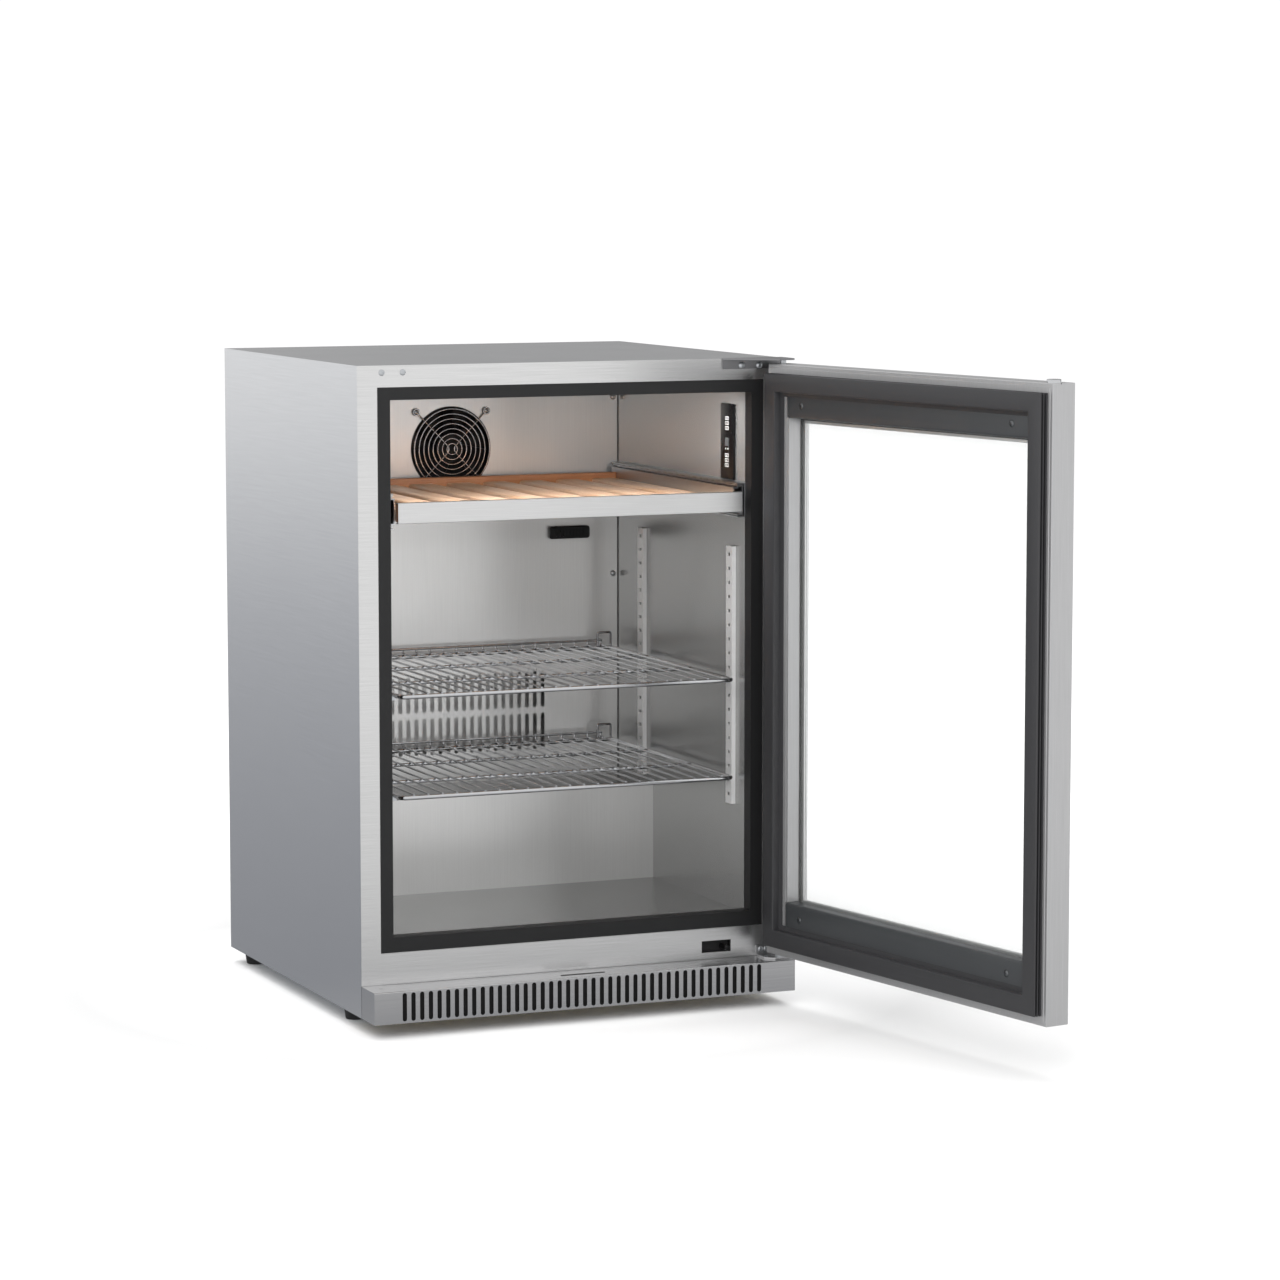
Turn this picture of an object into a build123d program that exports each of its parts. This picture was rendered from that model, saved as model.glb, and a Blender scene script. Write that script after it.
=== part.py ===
"""Under-counter drinks fridge with a glass door, a pull-out wine rack and two wire shelves.

Frame: millimetres, +X to the right, +Y to the back, +Z up. The origin is on the floor, under
the centre of the cabinet's footprint. The door is modelled where it stands, open.

Most sizes below are given as the cabinet maker would give them: x from the centre line, a depth
behind the front flange (negative in front of it) and a height above the cabinet's underside.
"""
from math import cos, radians, sin
import os

from build123d import *

os.makedirs("parts", exist_ok=True)

# ---- driving dimensions ----
CAB_W = 595.0            # cabinet width
CAB_D = 552.0            # cabinet depth without door and kick plate
CAB_H = 842.5            # cabinet height without feet
FOOT_H = 20.0            # feet, screwed fully in
SHEET = 1.2              # stainless outer skin
LINER = 1.0              # stainless liner sheet
IN_W = 507.0             # inside width
IN_FLOOR = 97.5          # height of the inside floor
IN_CEILING = 798.0       # height of the inside ceiling
DUCT_D = 453.5           # depth of the false back wall
SIDE_GAP = 1.2           # open joint between that wall and the side walls
REAR_D = 508.0           # depth of the liner behind the air duct
HUMP_D = 326.7           # depth of the step over the machine space
HUMP_H = 229.5           # height of that step
FOAM_LOW = 55.0          # underside of the floor insulation
MACHINE_D = 369.0        # front wall of the machine space
MACHINE_H = 187.0        # its ceiling
STRIP_W = 541.0          # black thermal break, outer width
STRIP_LOW = 83.4
STRIP_TOP = 814.5
STRIP_IN_LOW = 103.5
STRIP_D = 19.5           # depth that the break reaches into the cabinet
KICK_D = 49.0            # how far the kick plate stands forward
KICK_H = 41.7
DOOR_ANGLE = 100.2       # how far the door stands open
PIN_X = 285.5            # hinge axis
PIN_D = -30.4
PIN_R = 4.0
RUN_FIT = 0.05           # radial clearance of pins and shafts in their bushes
DOOR_W = 594.0
DOOR_LOW = 49.2
DOOR_TOP = 835.8
DOOR_BACK_D = -13.7      # the door frame's inner edge when shut
DOOR_FACE_D = -49.8      # and its outer face
DOOR_OPENING_W = 507.0   # clear width between the door's stiles
PANE = 4.0               # glass thickness
SLIDE_LOW = 630.4        # ball-bearing slides, 45 mm tall
SLIDE_TOP = 675.8
SLIDE_D0 = 19.8
SLIDE_D1 = 449.0
SHELF_HALF = 237.7
SHELF_D0 = 13.5
SHELF_D1 = 438.0
SHELF_TOPS = {"lower": 287.7, "upper": 419.4}
WIRE_R = 1.5
RAIL_R = 3.0
FAN_H = 701.0            # height of the fan's centre
SLOT_PITCH = 11.93       # air slots in the duct panel and the kick plate
SLOT_W = 5.9
SCREW_X = 245.7          # duct panel screws
SCREW_HEIGHTS = (517.0, 768.5)
FAN_HOLE_R = 59.5
LAMP = (-160.0, 160.0, 30.0, 48.0)  # light strip let into the ceiling: x from, to, depth from, to
LAMP_RECESS = 6.0
EAR = 52.3               # the guard's fixing ears, half of the 105 mm fan spacing
SENSOR_X = 176.4
UPRIGHT_DEPTHS = (48.0, 350.0)
UPRIGHT_DEEP = 5.8       # how far the shelf uprights stand off the wall
RACK_HALF = 239.2        # wine rack: wooden frame, half width
RACK_D1 = 436.0
BAND_LOW = 638.9
BAND_TOP = 665.6
BAND_HALF = 242.0
RAIL_T = 12.0            # thickness of the rack's back rail
SLAT_W = 40.0
SLAT_PITCH = 54.7
SLAT_LOW = 643.0
SLAT_TOP = 655.5
FOOT_X = 272.0
FOOT_DEPTHS = (100.0, 520.0)
FOOT_STEM_R = 5.0
SWITCH_X0 = 183.0        # door switch, beside the lower hinge
SWITCH_X1 = 225.3
SWITCH_LOW = 50.4
SWITCH_TOP = 66.3
PLUNGER_X = 215.0
PLUNGER_H = 57.6
PLUNGER_R = 3.6
BRACKET_X = 211.0        # left end of the top hinge bracket
BRACKET_T = 2.4
BRACKET_FRONT = -44.0
LOW_BRACKET_X0 = 262.0
LOW_BRACKET_X1 = CAB_W / 2 - 2.0
TOP_SCREWS = (238.1, 263.4)
BLANKING_SCREWS = (-264.5, -236.0)
TOP_SCREW_H = 833.4
LOW_SCREWS = (268.0, 276.0)
LOW_SCREW_H = 50.5
BUSH_R = 6.5
BUSH_H = 16.0

IN_X = IN_W / 2
SLIDE_LIP_X = IN_X - 11.0  # the fixed slide members' lips reach in to here
DOOR_HALF = DOOR_W / 2
OPEN_HALF = DOOR_OPENING_W / 2
OPEN_LOW = 84.0          # the door's window
OPEN_TOP = 802.6
GLASS_OUT = DOOR_FACE_D + 1.4
GLASS_SPACE = 8.0
GLASS_BACK = GLASS_OUT + 2 * PANE + GLASS_SPACE
YF = -CAB_D / 2          # the front flange's plane in Y
Z0 = FOOT_H              # the cabinet's underside in Z


def at(x, depth, height):
    """A point of the cabinet in the part's frame."""
    return (x, YF + depth, Z0 + height)


def slab(x0, x1, d0, d1, h0, h1, mode=Mode.ADD):
    """Add a block between two x values, two depths and two heights to the part being built."""
    with Locations(at((x0 + x1) / 2, (d0 + d1) / 2, (h0 + h1) / 2)):
        Box(x1 - x0, d1 - d0, h1 - h0, mode=mode)


def rod(start, end, radius, mode=Mode.ADD):
    """Add a round bar between two points given as x, depth, height."""
    low, high = Vector(at(*start)), Vector(at(*end))
    along = high - low
    with Locations(Plane(origin=low, z_dir=along)):
        Cylinder(radius, along.length, align=(Align.CENTER, Align.CENTER, Align.MIN), mode=mode)


def finish(piece, label):
    """Label a finished piece and write its STEP file."""
    piece.label = label
    export_step(piece, f"parts/{label}.step")


# ---- outer casing ----
def make_casing():
    for side, sign in (("left", -1), ("right", 1)):
        inner, outer = sorted((sign * (CAB_W / 2 - SHEET), sign * CAB_W / 2))
        with BuildPart() as panel:
            slab(inner, outer, SHEET, CAB_D, 0, CAB_H)
        finish(panel.part, f"side_panel_{side}")

    half = CAB_W / 2 - SHEET
    with BuildPart() as top:
        slab(-half, half, SHEET, CAB_D - SHEET, CAB_H - SHEET, CAB_H)
    finish(top.part, "top_panel")

    # rear panel with louvres over the machine space and a cut-out for the mains inlet
    with BuildPart() as back:
        slab(-half, half, CAB_D - SHEET, CAB_D, 0, CAB_H)
        for row in range(5):
            low = 60 + row * 22
            for x in (-150, -50, 50):
                slab(x - 38, x + 38, CAB_D - 2 * SHEET, CAB_D + 1, low, low + 6, Mode.SUBTRACT)
        slab(190, 218, CAB_D - 2 * SHEET, CAB_D + 1, 60, 82, Mode.SUBTRACT)
    finish(back.part, "back_panel")

    # tray under everything, open behind the kick plate so that air gets in
    with BuildPart() as base:
        slab(-half, half, 60, CAB_D - SHEET, 0, 1.5)
        for x in (-FOOT_X, FOOT_X):
            for depth in FOOT_DEPTHS:
                rod((x, depth, -1), (x, depth, 3), FOOT_STEM_R + 0.3, Mode.SUBTRACT)
    finish(base.part, "base_pan")

    # front flange: one bent face around the opening, down to the kick plate
    with BuildPart() as face:
        slab(-CAB_W / 2, CAB_W / 2, 0, SHEET, KICK_H + 0.3, CAB_H)
        slab(-STRIP_W / 2, STRIP_W / 2, -1, SHEET + 1, STRIP_LOW, STRIP_TOP, Mode.SUBTRACT)
        slab(SWITCH_X0, SWITCH_X1, -1, SHEET + 1, SWITCH_LOW, SWITCH_TOP, Mode.SUBTRACT)
        edges_to_round = face.edges().filter_by(Axis.Y).group_by(Axis.Z)[-1]
        fillet(edges_to_round, 0.8)
    finish(face.part, "front_flange")


# ---- insulation and liner ----
def make_body():
    with BuildPart() as strip:
        slab(-STRIP_W / 2, STRIP_W / 2, -0.6, STRIP_D, STRIP_LOW, STRIP_TOP)
        slab(-IN_X, IN_X, -2, STRIP_D + 1, STRIP_IN_LOW, IN_CEILING, Mode.SUBTRACT)
    finish(strip.part, "thermal_break")

    # foam between the skins, with the room inside and the machine space below it left out
    skin = CAB_W / 2 - SHEET
    room = IN_X + LINER
    with BuildPart() as foam:
        slab(-skin, skin, SHEET, CAB_D - SHEET, FOAM_LOW, CAB_H - SHEET)
        slab(-skin, skin, MACHINE_D, CAB_D, 0, MACHINE_H, Mode.SUBTRACT)
        slab(-room, room, 0, REAR_D + LINER, HUMP_H - LINER, IN_CEILING + LINER, Mode.SUBTRACT)
        slab(-room, room, 0, HUMP_D + LINER, IN_FLOOR - LINER, HUMP_H, Mode.SUBTRACT)
        slab(-STRIP_W / 2, STRIP_W / 2, 0, STRIP_D, STRIP_LOW, STRIP_TOP, Mode.SUBTRACT)
        slab(*LAMP, IN_CEILING, IN_CEILING + LAMP_RECESS, Mode.SUBTRACT)
        slab(SWITCH_X0 - 1, SWITCH_X1 + 1, 0, 30, SWITCH_LOW - 1, SWITCH_TOP + 1, Mode.SUBTRACT)
    finish(foam.part, "insulation_foam")

    # folded and welded liner: two walls, ceiling, floor, the step over the machine space, rear
    with BuildPart() as liner:
        for sign in (-1, 1):
            near, far = sorted((sign * IN_X, sign * room))
            slab(near, far, STRIP_D, REAR_D, HUMP_H, IN_CEILING)
            slab(near, far, STRIP_D, HUMP_D + LINER, IN_FLOOR, HUMP_H)
        slab(-room, room, STRIP_D, REAR_D, IN_CEILING, IN_CEILING + LINER)
        slab(*LAMP, IN_CEILING - LINER, IN_CEILING + 2 * LINER, Mode.SUBTRACT)
        slab(-room, room, STRIP_D, HUMP_D + LINER, IN_FLOOR - LINER, IN_FLOOR)
        slab(-IN_X, IN_X, HUMP_D, HUMP_D + LINER, IN_FLOOR, HUMP_H - LINER)
        slab(-room, room, HUMP_D, REAR_D, HUMP_H - LINER, HUMP_H)
        slab(-room, room, REAR_D, REAR_D + LINER, HUMP_H - LINER, IN_CEILING + LINER)
    finish(liner.part, "liner")


# ---- air duct, fan and evaporator behind the false back wall ----
DUCT_SCREWS = [(x, h) for x in (-SCREW_X, SCREW_X) for h in SCREW_HEIGHTS]


def screw_heads(places, head_r, head_h, shank_r, shank):
    """Round-headed screws: (x, height) places on the plane of the part's current workplane."""
    for place in places:
        with Locations(place):
            Cylinder(shank_r, shank, align=(Align.CENTER, Align.CENTER, Align.MAX))
            Cylinder(head_r, head_h, align=(Align.CENTER, Align.CENTER, Align.MIN))


def make_duct():
    wall = Plane(origin=at(0, DUCT_D + LINER, 0), x_dir=(1, 0, 0), z_dir=(0, -1, 0))
    with BuildPart() as duct:
        slab(-IN_X + SIDE_GAP, IN_X - SIDE_GAP, DUCT_D, DUCT_D + LINER, HUMP_H, IN_CEILING)
        with BuildSketch(wall):
            with Locations((0, FAN_H)):
                Circle(FAN_HOLE_R)
            for low, high in ((270.5, 322.0), (330.6, 382.0)):
                with Locations((0, (low + high) / 2)):
                    with GridLocations(SLOT_PITCH, 1, 24, 1):
                        SlotOverall(high - low, SLOT_W, rotation=90)
            with Locations(*DUCT_SCREWS):
                Circle(2.0)
            with Locations(*[(sx * EAR, FAN_H + sz * EAR) for sx in (-1, 1) for sz in (-1, 1)]):
                Circle(2.0)
        extrude(amount=LINER + 1, mode=Mode.SUBTRACT)
    finish(duct.part, "duct_panel")

    face = Plane(origin=at(0, DUCT_D, 0), x_dir=(1, 0, 0), z_dir=(0, -1, 0))
    with BuildPart(face) as screws:
        screw_heads(DUCT_SCREWS, 3.5, 2.0, 1.9, 6.0)
        chamfer(screws.faces().filter_by(Plane.XZ).group_by(Axis.Y)[0].edges(), 0.6)
    finish(screws.part, "duct_screws")

    # wire finger guard: eight rings, two crossed wires and four ears
    ring_depth = DUCT_D - 5.0
    wire_depth = ring_depth + 1.7
    with BuildPart() as guard:
        for wire in range(8):
            with BuildSketch(Plane(at(7.7 + wire * 6.9, ring_depth, FAN_H))):
                Circle(0.9)
            revolve(axis=Axis(at(0, ring_depth, FAN_H), (0, 1, 0)))
        for sign in (-1, 1):
            low, high = FAN_H - sign * EAR, FAN_H + sign * EAR
            rod((-EAR, wire_depth, low), (EAR, wire_depth, high), 1.0)
        for sx in (-1, 1):
            for sz in (-1, 1):
                x, h = sx * EAR, FAN_H + sz * EAR
                rod((x, DUCT_D - 4.6, h), (x, DUCT_D - 1.6, h), 4.0)
                rod((x, DUCT_D - 2, h), (x, DUCT_D, h), 2.6)
    finish(guard.part, "fan_guard")

    with BuildPart() as frame:
        slab(-60, 60, DUCT_D + LINER, DUCT_D + LINER + 25, FAN_H - 60, FAN_H + 60)
        rod((0, DUCT_D, FAN_H), (0, DUCT_D + 23, FAN_H), 57.5, Mode.SUBTRACT)
        rod((0, DUCT_D + 20, FAN_H), (0, DUCT_D + 26, FAN_H), 18)
        for turn in (45, 135):
            across, up = 58 * cos(radians(turn)), 58 * sin(radians(turn))
            rod((-across, DUCT_D + 23.9, FAN_H - up), (across, DUCT_D + 23.9, FAN_H + up), 2.0)
        rod((0, DUCT_D + 4, FAN_H), (0, DUCT_D + 22, FAN_H), 3.0)
    finish(frame.part, "evaporator_fan_frame")
    make_rotor("evaporator_fan_rotor", at(0, DUCT_D + 5, FAN_H), (0, 1, 0), 54.0, 20.0, 14.5, 3.0)

    # finned coil that hangs in the duct under the fan
    with BuildPart() as coil:
        for fin in range(28):
            x = -180 + fin * 360 / 27
            slab(x - 0.4, x + 0.4, 463, 497, 440, 590)
        for row in range(4):
            height = 460 + row * 36
            rod((-195, 480, height), (195, 480, height), 4.5)
        for row in range(3):
            side = 192 if row % 2 == 0 else -192
            rod((side, 480, 460 + row * 36), (side, 480, 496 + row * 36), 4.5)
        for side in (-1, 1):
            slab(side * 187 - 1, side * 187 + 1, 463, REAR_D, 436, 594)
    finish(coil.part, "evaporator_coil")

    with BuildPart() as cover:
        slab(-30.7 + SENSOR_X, 30.7 + SENSOR_X, DUCT_D - 8, DUCT_D, 569.4, 587.2)
        fillet(cover.edges().filter_by(Axis.Y), 4.0)
        fillet(cover.faces().sort_by(Axis.Y)[0].edges(), 1.5)
        for rib in range(9):
            x = SENSOR_X - 20 + rib * 5
            slab(x - 0.9, x + 0.9, DUCT_D - 9, DUCT_D - 6.6, 573, 583.5, Mode.SUBTRACT)
    finish(cover.part, "sensor_cover")


def make_rotor(label, centre, axis, radius, hub_r, depth, shaft_r):
    """Seven-bladed fan rotor with a hub bored for its shaft."""
    hub_plane = Plane(origin=centre, z_dir=axis)
    with BuildPart() as rotor:
        with BuildSketch(hub_plane):
            Circle(hub_r)
            Circle(shaft_r + RUN_FIT, mode=Mode.SUBTRACT)
        extrude(amount=depth)
        with Locations(hub_plane.offset(depth / 2)):
            with PolarLocations((radius + hub_r) / 2, 7):
                Box(radius - hub_r + 3, 22, 1.6, rotation=(30, 0, 0))
    finish(rotor.part, label)


# ---- fittings on the walls ----
def make_fittings():
    with BuildPart() as panel:
        slab(IN_X - 3.2, IN_X, 49.8, 92.2, 677.5, 778.7)
        fillet(panel.edges().filter_by(Axis.X), 3.5)
        fillet(panel.faces().sort_by(Axis.X)[0].edges(), 0.8)
    finish(panel.part, "control_panel")

    with BuildPart() as lamp:
        slab(*LAMP, IN_CEILING - 0.8, IN_CEILING + LAMP_RECESS)
        chamfer(lamp.faces().sort_by(Axis.Z)[0].edges(), 0.6)
    finish(lamp.part, "light_strip")

    # four slotted shelf uprights and the hooks that hang in them
    with BuildPart() as uprights:
        for depth in UPRIGHT_DEPTHS:
            for sign in (-1, 1):
                low_x, high_x = sorted((sign * (IN_X - UPRIGHT_DEEP), sign * IN_X))
                slab(low_x, high_x, depth, depth + 19, 241.0, 588.8)
                core = sorted((sign * (IN_X - UPRIGHT_DEEP + SHEET), sign * (IN_X + 1)))
                slab(*core, depth + SHEET, depth + 19 - SHEET, 240, 590, Mode.SUBTRACT)
                for hole in range(18):
                    low = 251.8 + hole * 19.05
                    slab(low_x - 1, high_x + 1, depth + 6.5, depth + 12.5, low, low + 4.4, Mode.SUBTRACT)
    finish(uprights.part, "shelf_uprights")

    with BuildPart() as hooks:
        for top in SHELF_TOPS.values():
            for sign in (-1, 1):
                for depth in UPRIGHT_DEPTHS:
                    ends = sorted((sign * (IN_X - UPRIGHT_DEEP), sign * (SHELF_HALF - 9)))
                    high = top - 2 * (RAIL_R + WIRE_R) - 0.3
                    slab(*ends, depth + 5, depth + 15, high - 5, high)
    finish(hooks.part, "shelf_hooks")


# ---- ball-bearing slides and the wine rack ----
def channels(label, web, lip, low, high, start, end):
    """A pair of C-shaped slide members: webs at x = web, lips that reach towards x = lip."""
    gauge = 1.4
    back = web - gauge if lip < web else web + gauge
    with BuildPart() as members:
        for sign in (-1, 1):
            slab(*sorted((sign * web, sign * back)), start, end, low, high)
            for base in (low, high - gauge):
                slab(*sorted((sign * web, sign * lip)), start, end, base, base + gauge)
    finish(members.part, label)


def make_slides():
    channels("slide_fixed", IN_X, SLIDE_LIP_X, SLIDE_LOW, SLIDE_TOP, SLIDE_D0, SLIDE_D1)
    low, top = SLIDE_LOW + 2.3, SLIDE_TOP - 2.3
    channels("slide_middle", IN_X - 2.6, SLIDE_LIP_X + 0.7, low, top, SLIDE_D0 + 1, SLIDE_D1 - 3)
    low, top = SLIDE_LOW + 5.8, SLIDE_TOP - 5.8
    channels("slide_moving", RACK_HALF, RACK_HALF + 6.8, low, top, 25.0, SLIDE_D1 - 6)


def make_rack():
    # stainless front band: a shallow channel closed over the rack's front rail
    with BuildPart() as band:
        slab(-BAND_HALF, BAND_HALF, 3.0, 4.2, BAND_LOW, BAND_TOP)
        slab(-BAND_HALF, BAND_HALF, 3.0, 11.6, BAND_TOP - 1.2, BAND_TOP)
        slab(-BAND_HALF, BAND_HALF, 3.0, 11.6, BAND_LOW, BAND_LOW + 1.2)
        fillet(band.edges().filter_by(Axis.X).group_by(Axis.Y)[0], 0.8)
    finish(band.part, "rack_front_band")

    with BuildPart() as front:
        slab(-RACK_HALF, RACK_HALF, 4.2, 24.0, BAND_LOW + 1.2, BAND_TOP - 1.2)
    finish(front.part, "rack_front_rail")
    with BuildPart() as back:
        slab(-RACK_HALF, RACK_HALF, RACK_D1 - RAIL_T, RACK_D1, 641.0, 663.5)
        fillet(back.edges().filter_by(Axis.X).group_by(Axis.Z)[-1], 1.2)
    finish(back.part, "rack_back_rail")
    with BuildPart() as sides:
        for sign in (-1, 1):
            ends = sorted((sign * (RACK_HALF - SLAT_W), sign * RACK_HALF))
            slab(*ends, 24.0, RACK_D1 - RAIL_T, SLAT_LOW, SLAT_TOP)
        chamfer(sides.edges().filter_by(Axis.Y).group_by(Axis.Z)[-1], 2.0)
    finish(sides.part, "rack_side_rails")
    with BuildPart() as slats:
        for slat in range(-3, 4):
            x = slat * SLAT_PITCH
            slab(x - SLAT_W / 2, x + SLAT_W / 2, 24.0, RACK_D1 - RAIL_T, SLAT_LOW, SLAT_TOP)
        chamfer(slats.edges().filter_by(Axis.Y).group_by(Axis.Z)[-1], 2.0)
        for depth in (110.0, 330.0):
            slab(-RACK_HALF, RACK_HALF, depth, depth + 28, SLAT_LOW - 8.5, SLAT_LOW)
    finish(slats.part, "rack_slats")


# ---- wire shelves ----
def make_shelf(name, top):
    """Wire shelf: a rail bent round all four sides and front-to-back wires welded across it."""
    rail = top - RAIL_R - 2 * WIRE_R
    bar_x = SHELF_HALF - RAIL_R
    front, back = SHELF_D0 + RAIL_R, SHELF_D1 - RAIL_R
    wires = rail + RAIL_R + WIRE_R - 0.4
    stand_d = SHELF_D1 - 2
    with BuildPart() as shelf:
        with BuildLine() as path:
            corners = [(-bar_x, front), (bar_x, front), (bar_x, back), (-bar_x, back)]
            FilletPolyline(*[at(x, depth, rail) for x, depth in corners], radius=18.0, close=True)
        with BuildSketch(Plane(origin=path.line @ 0.5, z_dir=path.line % 0.5)):
            Circle(RAIL_R)
        sweep()
        for wire in range(-11, 12):
            x = wire * 19.85
            rod((x, SHELF_D0 + 1.5, wires), (x, stand_d + 0.6, wires), WIRE_R)
            rod((x, stand_d, rail + 1), (x, stand_d, rail + 10.5), WIRE_R - 0.3)
        for depth in (150.0, 300.0):
            rod((-bar_x, depth, rail + 0.6), (bar_x, depth, rail + 0.6), 2.4)
        rod((-bar_x + 14, stand_d, rail + 10.5), (bar_x - 14, stand_d, rail + 10.5), 2.0)
        for x in (214.0, 234.0):
            rod((x, back, rail), (x, back, rail + 21), 1.6)
        rod((212.0, back, rail + 21), (236.0, back, rail + 21), 1.9)
    finish(shelf.part, f"wire_shelf_{name}")


# ---- kick plate, door switch, feet ----
def make_front_base():
    front = Plane(origin=at(0, -KICK_D - 1, 0), x_dir=(1, 0, 0), z_dir=(0, -1, 0))
    with BuildPart() as kick:
        slab(-CAB_W / 2, CAB_W / 2, -KICK_D, 0, 0, KICK_H)
        fillet(kick.edges().filter_by(Axis.X).group_by(Axis.Y)[0].group_by(Axis.Z)[-1], 1.0)
        inside = CAB_W / 2 - SHEET
        slab(-inside, inside, -KICK_D + SHEET, 1, -1, KICK_H - SHEET, Mode.SUBTRACT)
        with BuildSketch(front):
            with Locations((-5.75, 20.95)):
                with GridLocations(SLOT_PITCH, 1, 43, 1):
                    SlotOverall(37.1, SLOT_W, rotation=90)
        extrude(amount=-4, mode=Mode.SUBTRACT)
    finish(kick.part, "kick_plate")

    with BuildPart() as switch:
        slab(SWITCH_X0, SWITCH_X1, 0.8, 24, SWITCH_LOW, SWITCH_TOP)
        slab(SWITCH_X0 + 1, SWITCH_X1 - 1, 0, 7, SWITCH_LOW + 1, SWITCH_TOP - 1, Mode.SUBTRACT)
        hole_r = PLUNGER_R + RUN_FIT
        rod((PLUNGER_X, 6, PLUNGER_H), (PLUNGER_X, 21, PLUNGER_H), hole_r, Mode.SUBTRACT)
    finish(switch.part, "door_switch")
    with BuildPart() as plunger:
        rod((PLUNGER_X, -12.6, PLUNGER_H), (PLUNGER_X, 14, PLUNGER_H), PLUNGER_R)
        fillet(plunger.faces().sort_by(Axis.Y)[0].edges(), 2.2)
    finish(plunger.part, "switch_plunger")

    for side, sign in (("left", -1), ("right", 1)):
        for place, depth in zip(("front", "rear"), FOOT_DEPTHS):
            foot_plane = Plane((sign * FOOT_X, YF + depth, 0))
            with BuildPart() as foot:
                with BuildSketch(foot_plane):
                    Circle(12.0)
                with BuildSketch(foot_plane.offset(FOOT_H)):
                    Circle(15.0)
                loft()
                with BuildSketch(foot_plane.offset(FOOT_H)):
                    Circle(FOOT_STEM_R)
                extrude(amount=6.0)
            finish(foot.part, f"foot_{place}_{side}")


# ---- hinges on the cabinet ----
def make_hinges():
    plate_h = CAB_H - 1.6
    with BuildPart() as top:
        with BuildSketch(Plane.XY.offset(Z0 + plate_h)) as outline:
            with BuildLine():
                Polyline(
                    (BRACKET_X, YF - 0.1),
                    (BRACKET_X, YF - 2.6),
                    (PIN_X - 12, YF + BRACKET_FRONT),
                    (CAB_W / 2, YF + BRACKET_FRONT),
                    (CAB_W / 2, YF - 0.1),
                    close=True,
                )
            make_face()
            fillet(outline.vertices().group_by(Axis.Y)[0], 5.0)
        extrude(amount=BRACKET_T)
        slab(BRACKET_X, CAB_W / 2, -2.6, -0.1, 828.8, plate_h)
        rod((PIN_X, PIN_D, CAB_H - 8), (PIN_X, PIN_D, CAB_H + 4), PIN_R, Mode.SUBTRACT)
        for x in TOP_SCREWS:
            rod((x, -4, TOP_SCREW_H), (x, 1, TOP_SCREW_H), 2.1, Mode.SUBTRACT)
    finish(top.part, "top_hinge_bracket")

    with BuildPart() as bottom:
        plate_h = KICK_H + 0.1
        slab(LOW_BRACKET_X0, LOW_BRACKET_X1, PIN_D - 9, -0.1, plate_h, plate_h + BRACKET_T)
        chamfer(bottom.edges().filter_by(Axis.Z).group_by(Axis.Y)[0].group_by(Axis.X)[0], 11)
        slab(LOW_BRACKET_X0, LOW_BRACKET_X1, -2.6, -0.1, plate_h, 56)
        rod((PIN_X, PIN_D, KICK_H - 2), (PIN_X, PIN_D, KICK_H + 5), PIN_R, Mode.SUBTRACT)
        for x in LOW_SCREWS:
            rod((x, -4, LOW_SCREW_H), (x, 1, LOW_SCREW_H), 2.1, Mode.SUBTRACT)
    finish(bottom.part, "bottom_hinge_bracket")

    with BuildPart() as pins:
        rod((PIN_X, PIN_D, DOOR_TOP - 14), (PIN_X, PIN_D, CAB_H + 0.8), PIN_R)
        rod((PIN_X, PIN_D, KICK_H + 0.1), (PIN_X, PIN_D, DOOR_LOW + 14), PIN_R)
        rod((PIN_X, PIN_D, KICK_H + 2.5), (PIN_X, PIN_D, DOOR_LOW - 0.3), 8.0)
    finish(pins.part, "hinge_pins")

    # bracket screws, and two blanking screws where a left-hand hinge would go
    bolt_plane = Plane(origin=at(0, -2.6, 0), x_dir=(1, 0, 0), z_dir=(0, -1, 0))
    with BuildPart(bolt_plane) as bolts:
        screw_heads([(x, TOP_SCREW_H) for x in TOP_SCREWS], 4.6, 2.6, 2.0, 2.4)
        screw_heads([(x, LOW_SCREW_H) for x in LOW_SCREWS], 3.4, 2.0, 2.0, 2.4)
        with Locations(*[(x, TOP_SCREW_H, -2.6) for x in BLANKING_SCREWS]):
            Cylinder(4.2, 1.8, align=(Align.CENTER, Align.CENTER, Align.MIN))
    finish(bolts.part, "cabinet_screws")


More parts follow.
